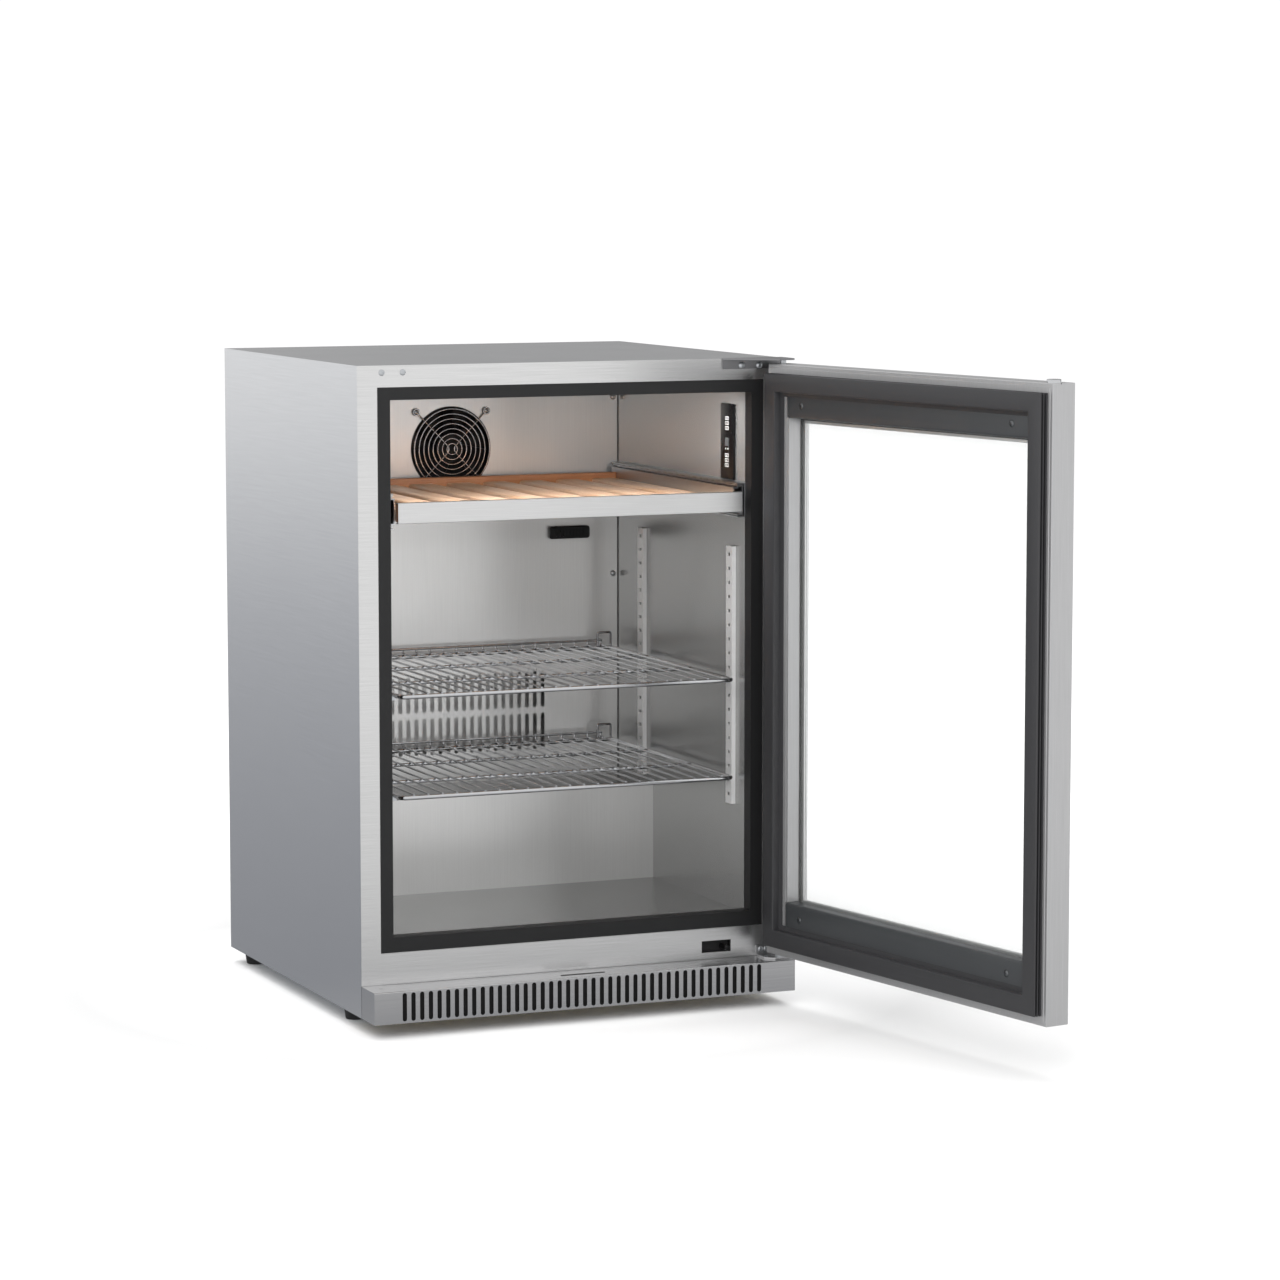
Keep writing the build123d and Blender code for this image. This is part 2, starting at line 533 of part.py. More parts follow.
# ---- machine space: compressor, condenser, fan, drip tray, electrics ----
def make_machine():
    with BuildPart() as compressor:
        with BuildSketch(Plane(at(-175, 462, 16))):
            Ellipse(88, 70)
        extrude(amount=70)
        with BuildSketch(Plane(at(-175, 462, 86))):
            Ellipse(84, 66)
        extrude(amount=68, taper=14)
        slab(-268, -82, 400, 524, 12, 16)
        fillet(compressor.faces().sort_by(Axis.Z)[-1].edges(), 14)
    finish(compressor.part, "compressor")
    with BuildPart() as grommets:
        for x in (-255, -95):
            for depth in (412, 512):
                rod((x, depth, 1.5), (x, depth, 12), 8)
    finish(grommets.part, "compressor_grommets")

    with BuildPart() as condenser:
        for fin in range(22):
            x = 10 + fin * 6
            slab(x - 0.4, x + 0.4, 392, 470, 20, 160)
        for row in range(4):
            rod((4, 412, 38 + row * 34), (142, 412, 38 + row * 34), 3.5)
            rod((4, 450, 38 + row * 34), (142, 450, 38 + row * 34), 3.5)
        for x in (5, 141):
            rod((x, 412, 38), (x, 412, 140), 3.5)
            rod((x, 450, 38), (x, 450, 140), 3.5)
        for x in (6.5, 139.5):
            slab(x - 1, x + 1, 388, 474, 1.5, 166)
    finish(condenser.part, "condenser_coil")

    # cowl between condenser and compressor, blowing towards the compressor
    with BuildPart() as cowl:
        slab(-30, -4, 376, 486, 24, 156)
        rod((-31, 431, 90), (-3, 431, 90), 50, Mode.SUBTRACT)
        rod((-9, 431, 90), (-4, 431, 90), 14)
        for turn in (45, 135):
            back, up = 52 * cos(radians(turn)), 52 * sin(radians(turn))
            rod((-6, 431 - back, 90 - up), (-6, 431 + back, 90 + up), 1.5)
        rod((-27, 431, 90), (-8, 431, 90), 2.5)
        slab(-30, -4, 380, 390, 1.5, 26)
        slab(-30, -4, 472, 482, 1.5, 26)
    finish(cowl.part, "condenser_fan_cowl")
    make_rotor("condenser_fan_rotor", at(-26, 431, 90), (1, 0, 0), 46.0, 14.0, 14.0, 2.5)

    with BuildPart() as tray:
        slab(-240, -110, 395, 530, 154, 173)
        slab(-237, -113, 398, 527, 157, 174, Mode.SUBTRACT)
    finish(tray.part, "drip_tray")
    with BuildPart() as box:
        slab(165, 280, 385, 500, 20, 120)
        fillet(box.edges().filter_by(Axis.Z), 5)
        for sign in (-1, 1):
            slab(222 + sign * 40 - 5, 222 + sign * 40 + 5, 400, 485, 1.5, 21)
    finish(box.part, "control_box")
    with BuildPart() as inlet:
        slab(186, 222, CAB_D, CAB_D + 1.5, 56, 86)
        slab(190.3, 217.7, CAB_D - 18, CAB_D + 0.5, 60.3, 81.7)
        slab(193, 215, CAB_D - 15, CAB_D + 2, 63, 79, Mode.SUBTRACT)
        for x in (198, 204, 210):
            slab(x - 1, x + 1, CAB_D - 16, CAB_D - 3, 69, 74)
    finish(inlet.part, "mains_inlet")


# ---- door, built shut and then swung open about its pins ----
def swing_open(piece):
    """Turn a piece of the shut door about the hinge axis to where the door stands."""
    axis = Axis(at(PIN_X, PIN_D, 0), (0, 0, 1))
    return piece.rotate(axis, DOOR_ANGLE)


def ring(half, low, high, wall, d0, d1, mode=Mode.ADD):
    """Add a rectangular ring of the given wall between two depths."""
    slab(-half, half, d0, d1, low, high, mode)
    slab(-half + wall, half - wall, d0 - 1, d1 + 1, low + wall, high - wall, Mode.SUBTRACT)


def make_door():
    # stainless surround: outer shell 1.4 mm proud over the glass's edge, stiles around the opening
    with BuildPart() as frame:
        slab(-DOOR_HALF, DOOR_HALF, DOOR_FACE_D, DOOR_BACK_D, DOOR_LOW, DOOR_TOP)
        slab(-OPEN_HALF, OPEN_HALF, DOOR_FACE_D - 1, DOOR_BACK_D + 1, OPEN_LOW, OPEN_TOP, Mode.SUBTRACT)
        for low in (DOOR_TOP - BUSH_H, DOOR_LOW):
            rod((PIN_X, PIN_D, low), (PIN_X, PIN_D, low + BUSH_H), BUSH_R, Mode.SUBTRACT)
        fillet(frame.edges().filter_by(Axis.Z).group_by(Axis.Y)[0], 1.0)
    finish(swing_open(frame.part), "door_frame")

    with BuildPart() as bushes:
        for low in (DOOR_TOP - BUSH_H, DOOR_LOW):
            rod((PIN_X, PIN_D, low), (PIN_X, PIN_D, low + BUSH_H), BUSH_R)
            bore = PIN_R + RUN_FIT
            rod((PIN_X, PIN_D, low - 1), (PIN_X, PIN_D, low + BUSH_H + 1), bore, Mode.SUBTRACT)
    finish(swing_open(bushes.part), "hinge_bushes")

    # sealed double glazing: outer pane, spacer, inner pane
    inner = GLASS_BACK - PANE
    for label, depth in (("outer", GLASS_OUT), ("inner", inner)):
        with BuildPart() as pane:
            slab(-OPEN_HALF, OPEN_HALF, depth, depth + PANE, OPEN_LOW, OPEN_TOP)
        finish(swing_open(pane.part), f"glass_{label}")
    with BuildPart() as spacer:
        ring(OPEN_HALF, OPEN_LOW, OPEN_TOP, 9.0, GLASS_OUT + PANE, inner)
    finish(swing_open(spacer.part), "glass_spacer")

    # magnetic seal: a hollow tube face with a lower lip towards the glass
    with BuildPart() as seal:
        ring(DOOR_HALF - 8.4, DOOR_LOW + 12.6, DOOR_TOP - 11.8, 21.6, DOOR_BACK_D, -9.0)
        ring(DOOR_HALF - 8.4, DOOR_LOW + 12.6, DOOR_TOP - 11.8, 13.0, -9.0, -1.0)
        chamfer(seal.faces().sort_by(Axis.Y)[-1].edges(), 1.5)
    finish(swing_open(seal.part), "door_seal")

    # two cover bars across the glass and the trims that line the stiles beside it
    bar_face = DOOR_BACK_D + 0.5
    bars = {"top": (766.7, OPEN_TOP), "bottom": (OPEN_LOW, 123.5)}
    screw_spots = [(x, sum(span) / 2) for span in bars.values() for x in (-219.5, 220.5)]
    for label, (low, high) in bars.items():
        with BuildPart() as bar:
            slab(-252.5, 252.5, GLASS_BACK, bar_face, low, high)
            fillet(bar.edges().filter_by(Axis.X).group_by(Axis.Y)[-1], 2.5)
            for x, height in screw_spots:
                rod((x, -28, height), (x, -12, height), 2.1, Mode.SUBTRACT)
        finish(swing_open(bar.part), f"door_{label}_bar")
    with BuildPart() as screws:
        for x, height in screw_spots:
            rod((x, -26, height), (x, bar_face, height), 2.0)
            rod((x, bar_face, height), (x, bar_face + 1.2, height), 4.0)
    finish(swing_open(screws.part), "door_bar_screws")
    with BuildPart() as trims:
        for sign in (-1, 1):
            ends = sorted((sign * (OPEN_HALF - 4), sign * OPEN_HALF))
            slab(*ends, GLASS_BACK, DOOR_BACK_D - 1, 123.8, 766.4)
    finish(swing_open(trims.part), "door_edge_trims")

    with BuildPart() as cap:
        x, depth = -DOOR_HALF + 11, DOOR_BACK_D - 17
        rod((x, depth, DOOR_TOP), (x, depth, DOOR_TOP + 4.5), 9.0)
        fillet(cap.faces().sort_by(Axis.Z)[-1].edges(), 1.2)
    finish(swing_open(cap.part), "door_top_cap")


make_casing()
make_body()
make_duct()
make_fittings()
make_slides()
make_rack()
for shelf_name, shelf_top in SHELF_TOPS.items():
    make_shelf(shelf_name, shelf_top)
make_front_base()
make_hinges()
make_machine()
make_door()
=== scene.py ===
# Under-counter drinks fridge with its glass door open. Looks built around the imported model.
import math

import bpy
from mathutils import Matrix, Vector


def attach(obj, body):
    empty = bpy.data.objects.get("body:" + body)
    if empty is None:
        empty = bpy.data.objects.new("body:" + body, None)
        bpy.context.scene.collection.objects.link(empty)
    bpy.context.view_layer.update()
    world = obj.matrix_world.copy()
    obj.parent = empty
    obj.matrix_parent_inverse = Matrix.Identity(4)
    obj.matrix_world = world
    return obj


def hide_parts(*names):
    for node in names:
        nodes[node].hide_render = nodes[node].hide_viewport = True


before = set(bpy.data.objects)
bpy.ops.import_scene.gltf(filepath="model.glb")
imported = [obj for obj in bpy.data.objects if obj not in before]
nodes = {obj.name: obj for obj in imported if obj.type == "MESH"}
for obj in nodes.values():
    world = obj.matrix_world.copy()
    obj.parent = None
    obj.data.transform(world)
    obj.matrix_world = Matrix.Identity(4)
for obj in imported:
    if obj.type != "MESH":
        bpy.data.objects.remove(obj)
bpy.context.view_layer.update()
mm = 0.001

# the cabinet's own measures: x from the middle, depth behind the front flange, height above its underside
place = {"front": -0.276, "underside": 0.020}


def at(x, depth, height):
    return Vector((x * mm, place["front"] + depth * mm, place["underside"] + height * mm))


# small helpers
def srgb(hexCode):
    parts = [int(hexCode[i:i + 2], 16) / 255 for i in (1, 3, 5)]
    return tuple(c / 12.92 if c <= 0.04045 else ((c + 0.055) / 1.055) ** 2.4 for c in parts) + (1.0,)


def deselect():
    if bpy.context.object and bpy.context.object.mode != "OBJECT":
        bpy.ops.object.mode_set(mode="OBJECT")
    bpy.ops.object.select_all(action="DESELECT")


def activate(piece):
    deselect()
    piece.select_set(True)
    bpy.context.view_layer.objects.active = piece


def settle(piece):  # put the piece's place into its mesh
    activate(piece)
    bpy.ops.object.transform_apply(location=True, rotation=True, scale=True)
    return piece


def join(pieces):
    activate(pieces[0])
    for piece in pieces[1:]:
        piece.select_set(True)
    bpy.ops.object.join()
    return settle(bpy.context.object)


def selectEdges(piece, wanted):  # chosen by the places of their two ends; leaves edit mode open
    activate(piece)
    bpy.ops.object.mode_set(mode="EDIT")
    bpy.ops.mesh.select_mode(type="EDGE")
    bpy.ops.mesh.select_all(action="DESELECT")
    bpy.ops.object.mode_set(mode="OBJECT")
    for edge in piece.data.edges:
        edge.select = wanted(*(piece.data.vertices[i].co for i in edge.vertices))
    bpy.ops.object.mode_set(mode="EDIT")


def block(low, high, bevel=0.0, steps=2, along=None):  # two opposite corners; along keeps the bevel to one axis
    deselect()
    bpy.ops.mesh.primitive_cube_add(size=1, location=(low + high) / 2)
    piece = bpy.context.object
    piece.scale = [abs(b - a) for a, b in zip(low, high)]
    settle(piece)
    if bevel:
        selectEdges(piece, lambda a, b: along is None or abs(a[along] - b[along]) > 1 * mm)
        bpy.ops.mesh.bevel(offset=bevel * mm, segments=steps, affect="EDGES")
        bpy.ops.object.mode_set(mode="OBJECT")
    return piece


def slab(x0, x1, d0, d1, h0, h1, bevel=0.0, steps=2, along=None):
    return block(at(min(x0, x1), d0, h0), at(max(x0, x1), d1, h1), bevel, steps, along)


def wire(points, radius, closed=False, sides=3):  # a bar bent through its control points
    deselect()
    bpy.ops.curve.primitive_nurbs_path_add(location=(0, 0, 0))
    curve = bpy.context.object
    line = curve.data
    line.splines.clear()
    run = line.splines.new("NURBS")
    run.points.add(len(points) - 1)
    for point, spot in zip(run.points, points):
        point.co = (*spot, 1)
    run.order_u = 3
    run.use_endpoint_u = not closed
    run.use_cyclic_u = closed
    run.resolution_u = 4
    line.dimensions = "3D"
    line.bevel_depth = radius * mm
    line.bevel_resolution = sides
    line.use_fill_caps = not closed
    activate(curve)
    bpy.ops.object.convert(target="MESH")
    return bpy.context.object


def cutWith(piece, cutter):
    activate(piece)
    cut = piece.modifiers.new("cut", "BOOLEAN")
    cut.object = cutter
    cut.operation = "DIFFERENCE"
    cut.solver = "EXACT"
    bpy.ops.object.modifier_apply(modifier="cut")
    bpy.data.objects.remove(cutter)
    return piece


def hand(piece, name, material, body, replaced=(), angle=35):
    settle(piece)
    piece.name = name
    piece.data.name = name
    if material:
        piece.data.materials.clear()
        piece.data.materials.append(material)
    activate(piece)
    bpy.ops.object.shade_smooth_by_angle(angle=math.radians(angle))
    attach(piece, body)
    if replaced:
        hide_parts(*replaced)
    return piece


# materials
def addNode(tree, kind, links=None, **settings):
    node = tree.nodes.new(kind)
    for key, value in settings.items():
        socket = key.replace("_", " ")
        if socket in node.inputs:
            node.inputs[socket].default_value = value
        else:
            setattr(node, key, value)
    for key, source in (links or {}).items():
        tree.links.new(source, node.inputs[key])
    return node


def newMaterial(name, colour, **shader):
    material = bpy.data.materials.new(name)
    material.use_nodes = True
    tree = material.node_tree
    base = tree.nodes["Principled BSDF"]
    base.inputs["Base Color"].default_value = srgb(colour)
    for key, value in shader.items():
        base.inputs[key.replace("_", " ")].default_value = value
    material.diffuse_color = srgb(colour)
    return material, tree, base


def coordinates(tree, stretch):
    where = addNode(tree, "ShaderNodeTexCoord")
    mapping = addNode(tree, "ShaderNodeMapping", {"Vector": where.outputs["Object"]}, Scale=stretch)
    return mapping.outputs["Vector"]


def remap(tree, source, **ends):
    return addNode(tree, "ShaderNodeMapRange", {"Value": source}, **ends).outputs["Result"]


def mixColours(tree, first, second, share=1.0, blend="MULTIPLY"):
    mix = addNode(tree, "ShaderNodeMix", data_type="RGBA", blend_type=blend)
    # a mix node's colour sockets are its inputs 6 and 7 and its output 2
    for socket, value in ((mix.inputs["Factor"], share), (mix.inputs[6], first), (mix.inputs[7], second)):
        if isinstance(value, bpy.types.NodeSocket):
            tree.links.new(value, socket)
        else:
            socket.default_value = value
    return mix.outputs[2]


brushing = {
    "lineMm": 0.9,      # real lines are 0.1 mm; drawn coarser so that they show
    "lengthMm": 90.0,
    "shade": 0.055,
    "bump": 0.035,
}


def brushedSteel(name, colour, roughness, spread=0.015, alongX=True, strength=1.0,
                 paintedSideShade=None, metal=1.0):
    # 1.4301 sheet ground with a 240 belt: fine streaks along one way, soft reflections across them
    material, tree, base = newMaterial(name, colour, Metallic=metal, Roughness=roughness)
    long, fine = 1000 / brushing["lengthMm"], 1000 / brushing["lineMm"]
    stretch = (long, long, fine) if alongX else (fine, fine, long)
    grain = addNode(tree, "ShaderNodeTexNoise", {"Vector": coordinates(tree, stretch)},
                    Scale=1.0, Detail=3.0, Roughness=0.6)
    cloud = addNode(tree, "ShaderNodeTexNoise", {"Vector": coordinates(tree, (3.0, 3.0, 5.0))},
                    Scale=1.0, Detail=2.0)
    shade = brushing["shade"] * strength
    tone = remap(tree, grain.outputs["Fac"], From_Min=0.3, From_Max=0.7, To_Min=1 - shade, To_Max=1 + shade)
    finish = mixColours(tree, srgb(colour), tone)
    if paintedSideShade:  # painted shade: each face is darkened by the share given for the axis it faces, along X, Y and Z
        facing = addNode(tree, "ShaderNodeNewGeometry")
        turned = addNode(tree, "ShaderNodeVectorMath", operation="ABSOLUTE")
        tree.links.new(facing.outputs["Normal"], turned.inputs[0])
        paintedShadeShare = addNode(tree, "ShaderNodeVectorMath", operation="DOT_PRODUCT")
        tree.links.new(turned.outputs["Vector"], paintedShadeShare.inputs[0])
        paintedShadeShare.inputs[1].default_value = paintedSideShade
        finish = mixColours(tree, finish, paintedShadeShare.outputs["Value"])
    tree.links.new(finish, base.inputs["Base Color"])
    gloss = remap(tree, cloud.outputs["Fac"], From_Min=0.3, From_Max=0.7,
                  To_Min=roughness - spread, To_Max=roughness + spread)
    tree.links.new(gloss, base.inputs["Roughness"])
    bump = addNode(tree, "ShaderNodeBump", {"Height": grain.outputs["Fac"]},
                   Strength=brushing["bump"] * strength, Distance=0.0002)
    tree.links.new(bump.outputs["Normal"], base.inputs["Normal"])
    return material


mould = {"patchPerMetre": 12, "glossSpread": 0.06, "leastRoughness": 0.02}


def mouldedPlastic(name, colour, roughness, grainMm=0.8, bumpStrength=0.12, **shader):
    # spark-eroded mould texture: a fine even grain that breaks up the gloss
    material, tree, base = newMaterial(name, colour, Roughness=roughness, **shader)
    size = 1000 / grainMm
    grain = addNode(tree, "ShaderNodeTexNoise", {"Vector": coordinates(tree, (size, size, size))},
                    Scale=1.0, Detail=2.0)
    bump = addNode(tree, "ShaderNodeBump", {"Height": grain.outputs["Fac"]},
                   Strength=bumpStrength, Distance=0.0001)
    tree.links.new(bump.outputs["Normal"], base.inputs["Normal"])
    patch = addNode(tree, "ShaderNodeTexNoise", {"Vector": coordinates(tree, [mould["patchPerMetre"]] * 3)},
                    Scale=1.0, Detail=2.0)
    gloss = remap(tree, patch.outputs["Fac"],
                  To_Min=max(roughness - mould["glossSpread"], mould["leastRoughness"]),
                  To_Max=roughness + mould["glossSpread"])
    tree.links.new(gloss, base.inputs["Roughness"])
    return material


# painted shade: the rail tones are the slat beech made darker, standing in for the shade the rails lie in
wood = {"slat": ("#debfa4", "#cba17e"), "rail": ("#b27a54", "#94603f"), "fleck": "#8f5b3c",
        "ringMm": 7.0, "fleckMm": 1.6, "ringStretch": 0.05, "fleckStretch": 0.12}


def beechWood(name, tones, alongX=False):
    # planed and oiled beech: straight pinkish grain with short dark flecks along it
    light, dark = tones
    material, tree, base = newMaterial(name, light, Roughness=0.34)
    base.inputs["Specular IOR Level"].default_value = 0.55
    ring, fleck = 1000 / wood["ringMm"], 1000 / wood["fleckMm"]
    longRing, longFleck = ring * wood["ringStretch"], fleck * wood["fleckStretch"]
    lengthwise = (longRing, ring, ring) if alongX else (ring, longRing, ring)
    flecks = (longFleck, fleck, fleck) if alongX else (fleck, longFleck, fleck)
    rings = addNode(tree, "ShaderNodeTexNoise", {"Vector": coordinates(tree, lengthwise)},
                    Scale=1.0, Detail=4.0, Distortion=0.6)
    dots = addNode(tree, "ShaderNodeTexNoise", {"Vector": coordinates(tree, flecks)}, Scale=1.0, Detail=2.0)
    ramp = addNode(tree, "ShaderNodeValToRGB", {"Fac": rings.outputs["Fac"]})
    for stop, position, tone in zip(ramp.color_ramp.elements, (0.32, 0.68), (dark, light)):
        stop.position = position
        stop.color = srgb(tone)
    mask = remap(tree, dots.outputs["Fac"], From_Min=0.6, From_Max=0.75, To_Max=0.55)
    paint = mixColours(tree, ramp.outputs["Color"], srgb(wood["fleck"]), mask, "MIX")
    tree.links.new(paint, base.inputs["Base Color"])
    bump = addNode(tree, "ShaderNodeBump", {"Height": rings.outputs["Fac"]}, Strength=0.15, Distance=0.0003)
    tree.links.new(bump.outputs["Normal"], base.inputs["Normal"])
    return material


skinSteel = brushedSteel("brushedStainlessSkin", "#d2d3d5", 0.26, spread=0.008, strength=0.6)
frontSteel = brushedSteel("brushedStainlessFront", "#d8d8d8", 0.26)
# painted shade: the liner's walls facing along X are painted at 0.44 and its floor and ceiling at 0.28 of their
# colour
linerSteel = brushedSteel("satinStainlessLiner", "#e6e6e5", 0.25, alongX=False, strength=0.6,
                          paintedSideShade=(0.44, 1.0, 0.28), metal=0.72)
kickSteel = brushedSteel("polishedStainlessKick", "#c4c4c5", 0.22)
bandSteel = brushedSteel("satinStainlessBand", "#dcdcdc", 0.38)
doorSteel = brushedSteel("brushedStainlessDoor", "#a9a9aa", 0.30, alongX=False, metal=0.6)
uprightSteel = brushedSteel("satinUprightStrip", "#dcdcdc", 0.36, alongX=False, strength=0.5, metal=0.4)
bracketSteel = brushedSteel("zincHingeBracket", "#8c8c8e", 0.34, strength=0.5)
chromeWire = brushedSteel("brightDrawnWire", "#c8c9cb", 0.14, strength=0.5)
zincSteel = brushedSteel("zincPlatedSteel", "#c2c5c8", 0.30, strength=0.6)
screwSteel = brushedSteel("blackenedScrewSteel", "#77797b", 0.34, strength=0.6)
backZinc = brushedSteel("galvanisedSheet", "#a9adb0", 0.42, strength=0.8)
finAluminium = brushedSteel("millAluminium", "#c8cacb", 0.40, strength=0.5)
stripPlastic = mouldedPlastic("mouldedBlackAbs", "#141415", 0.5, Specular_IOR_Level=0.4)
sealRubber = mouldedPlastic("extrudedSealTpe", "#2c2c2e", 0.50, grainMm=0.6, bumpStrength=0.08)
slatePaint = mouldedPlastic("powderCoatedSlate", "#343638", 0.36, grainMm=1.0, bumpStrength=0.1)
glossBlack = mouldedPlastic("glossBlackAbs", "#09090a", 0.28, bumpStrength=0.02, Specular_IOR_Level=0.3)
footRubber = mouldedPlastic("blackFootRubber", "#161616", 0.6, bumpStrength=0.2)
# painted shade: a matt black sheet standing in for the shade inside the base behind the kick's slots
slotShadeBlack = mouldedPlastic("blackSlotShadeSheet", "#060606", 0.95, grainMm=2.0, bumpStrength=0.6)
blackPaint = mouldedPlastic("blackStovePaint", "#18191a", 0.35, grainMm=1.5)
greyPlastic = mouldedPlastic("greyAbs", "#8d9093", 0.5)
lampLens = mouldedPlastic("frostedLens", "#eef0f0", 0.35)
foamYellow = mouldedPlastic("rigidFoam", "#d9c79a", 0.9, grainMm=1.2, bumpStrength=0.5)
markInk = mouldedPlastic("whitePrintedInk", "#b4b6b6", 0.5, bumpStrength=0.02)
displayGrey = mouldedPlastic("unlitDisplay", "#3c3f42", 0.15, bumpStrength=0.02)
beechSlat = beechWood("oiledBeechSlat", wood["slat"])
# painted shade: the rails take the darker copy of the beech
beechRailShaded = beechWood("shadeDarkenedBeechRail", wood["rail"], alongX=True)


def clearGlass(name):
    # 4 mm float glass: almost no colour, a faint grey-green and a thin reflection
    material, tree, base = newMaterial(name, "#f4f8f7", Roughness=0.03, Alpha=0.07)
    base.inputs["Specular IOR Level"].default_value = 0.8
    smear = addNode(tree, "ShaderNodeTexNoise", {"Vector": coordinates(tree, (4, 4, 4))}, Scale=1.0, Detail=2.0)
    tree.links.new(remap(tree, smear.outputs["Fac"], To_Min=0.02, To_Max=0.06), base.inputs["Roughness"])
    return material


windowGlass = clearGlass("clearFloatGlass")

cadFinish = {
    "side_panel_left": skinSteel, "side_panel_right": skinSteel, "top_panel": skinSteel,
    "back_panel": backZinc, "base_pan": backZinc, "front_flange": frontSteel,
    "thermal_break": stripPlastic, "insulation_foam": foamYellow, "liner": linerSteel,
    "duct_panel": linerSteel, "duct_screws": zincSteel, "fan_guard": chromeWire,
    "evaporator_fan_frame": stripPlastic, "evaporator_fan_rotor": stripPlastic,
    "evaporator_coil": finAluminium, "sensor_cover": glossBlack, "control_panel": glossBlack,
    "light_strip": lampLens, "shelf_uprights": uprightSteel, "shelf_hooks": zincSteel,
    "slide_fixed": zincSteel, "slide_middle": zincSteel, "slide_moving": zincSteel,
    "rack_front_band": bandSteel, "rack_front_rail": beechRailShaded, "rack_back_rail": beechRailShaded,
    "rack_side_rails": beechSlat, "rack_slats": beechSlat,
    "wire_shelf_lower": chromeWire, "wire_shelf_upper": chromeWire, "kick_plate": kickSteel,
    "door_switch": stripPlastic, "switch_plunger": glossBlack,
    "foot_front_left": footRubber, "foot_front_right": footRubber,
    "foot_rear_left": footRubber, "foot_rear_right": footRubber,
    "top_hinge_bracket": bracketSteel, "bottom_hinge_bracket": kickSteel,
    "hinge_pins": zincSteel, "cabinet_screws": zincSteel, "compressor": blackPaint,
    "compressor_grommets": footRubber, "condenser_coil": blackPaint,
    "condenser_fan_cowl": stripPlastic, "condenser_fan_rotor": stripPlastic,
    "drip_tray": stripPlastic, "control_box": greyPlastic, "mains_inlet": stripPlastic,
    "door_frame": doorSteel, "hinge_bushes": stripPlastic,
    "glass_outer": windowGlass, "glass_inner": windowGlass, "glass_spacer": stripPlastic,
    "door_seal": sealRubber, "door_top_bar": slatePaint, "door_bottom_bar": slatePaint,
    "door_bar_screws": screwSteel, "door_edge_trims": doorSteel, "door_top_cap": chromeWire,
}
for label, finish in cadFinish.items():
    nodes[label].data.materials.clear()
    nodes[label].data.materials.append(finish)
print("finishes given to", len(cadFinish), "frame nodes")

# fan guard: rings, two bent wires, eyelets with screws
toFront = (0, -1, 0)
fan = {"height": 701.0, "depth": 448.5, "firstRing": 7.7, "ringPitch": 6.9, "rings": 8,
       "ringWire": 0.95, "ear": 52.3, "spokeWire": 1.15, "spokeDeep": 1.8,
       "bow": 2.6, "bowReach": 8.5, "bowFlare": 6.0, "eyelet": 4.3, "eyeletWire": 1.2}
# the cross recess, as shares of the head's radius
recess = {"halfLong": 0.52, "halfWide": 0.11}


def crossHeadScrew(spot, out, radius, rise, slotDeep=0.9):  # domed head with a cross recess
    deselect()
    bpy.ops.mesh.primitive_uv_sphere_add(segments=28, ring_count=14, radius=radius * mm)
    head = bpy.context.object
    bpy.ops.object.mode_set(mode="EDIT")
    bpy.ops.mesh.select_all(action="SELECT")
    bpy.ops.mesh.bisect(plane_co=(0, 0, 0), plane_no=(0, 0, 1), clear_inner=True, use_fill=True)
    bpy.ops.object.mode_set(mode="OBJECT")
    head.scale = (1, 1, rise / radius)
    settle(head)
    for turn in (45, 135):
        half = Vector((recess["halfLong"] * radius * mm, recess["halfWide"] * radius * mm, slotDeep * mm))
        cutter = block(-half, half)
        cutter.matrix_world = (Matrix.Translation((0, 0, rise * mm))
                               @ Matrix.Rotation(math.radians(turn), 4, "Z"))
        cutWith(head, cutter)
    head.matrix_world = Matrix.Translation(spot) @ Vector(out).to_track_quat("Z", "Y").to_matrix().to_4x4()
    return settle(head)


def buildFanGuard():
    parts = []
    for count in range(fan["rings"]):
        deselect()
        bpy.ops.mesh.primitive_torus_add(
            location=at(0, fan["depth"], fan["height"]), rotation=(math.pi / 2, 0, 0),
            major_radius=(fan["firstRing"] + count * fan["ringPitch"]) * mm, minor_radius=fan["ringWire"] * mm,
            major_segments=72, minor_segments=10)
        parts.append(bpy.context.object)
    ear, bow, reach, deep = fan["ear"], fan["bow"], fan["bowReach"], fan["depth"] + fan["spokeDeep"]
    flare = bow + fan["bowFlare"]
    for side in (-1, 1):
        bend = [(ear, ear), (flare, reach), (bow, 0), (flare, -reach), (ear, -ear)]
        parts.append(wire([at(side * x, deep, fan["height"] + h) for x, h in bend], fan["spokeWire"]))
        for up in (-1, 1):
            high = fan["height"] + up * ear
            deselect()
            bpy.ops.mesh.primitive_torus_add(
                location=at(side * ear, deep, high), rotation=(math.pi / 2, 0, 0),
                major_radius=fan["eyelet"] * mm, minor_radius=fan["eyeletWire"] * mm,
                major_segments=32, minor_segments=10)
            parts.append(bpy.context.object)
            parts.append(crossHeadScrew(at(side * ear, deep + 1.5, high), toFront, 3.4, 2.4))
    hand(join(parts), "fanGuard", chromeWire, "cabinet", ("fan_guard",))


# wire shelves
shelf = {"halfWide": 234.7, "front": 16.5, "back": 435.0, "corner": 18.0, "rail": 3.0, "wire": 1.55,
         "wirePitch": 19.85, "wires": 11, "upturn": 12.5,
         "upperRail": 1.9, "upperInset": 14.0, "upperHigh": 10.5,
         "crossBars": (150.0, 300.0), "barWire": 2.4,
         "stop": (214.0, 234.0), "stopHigh": 21.5, "stopCorner": 5.0, "stopWire": 1.7}


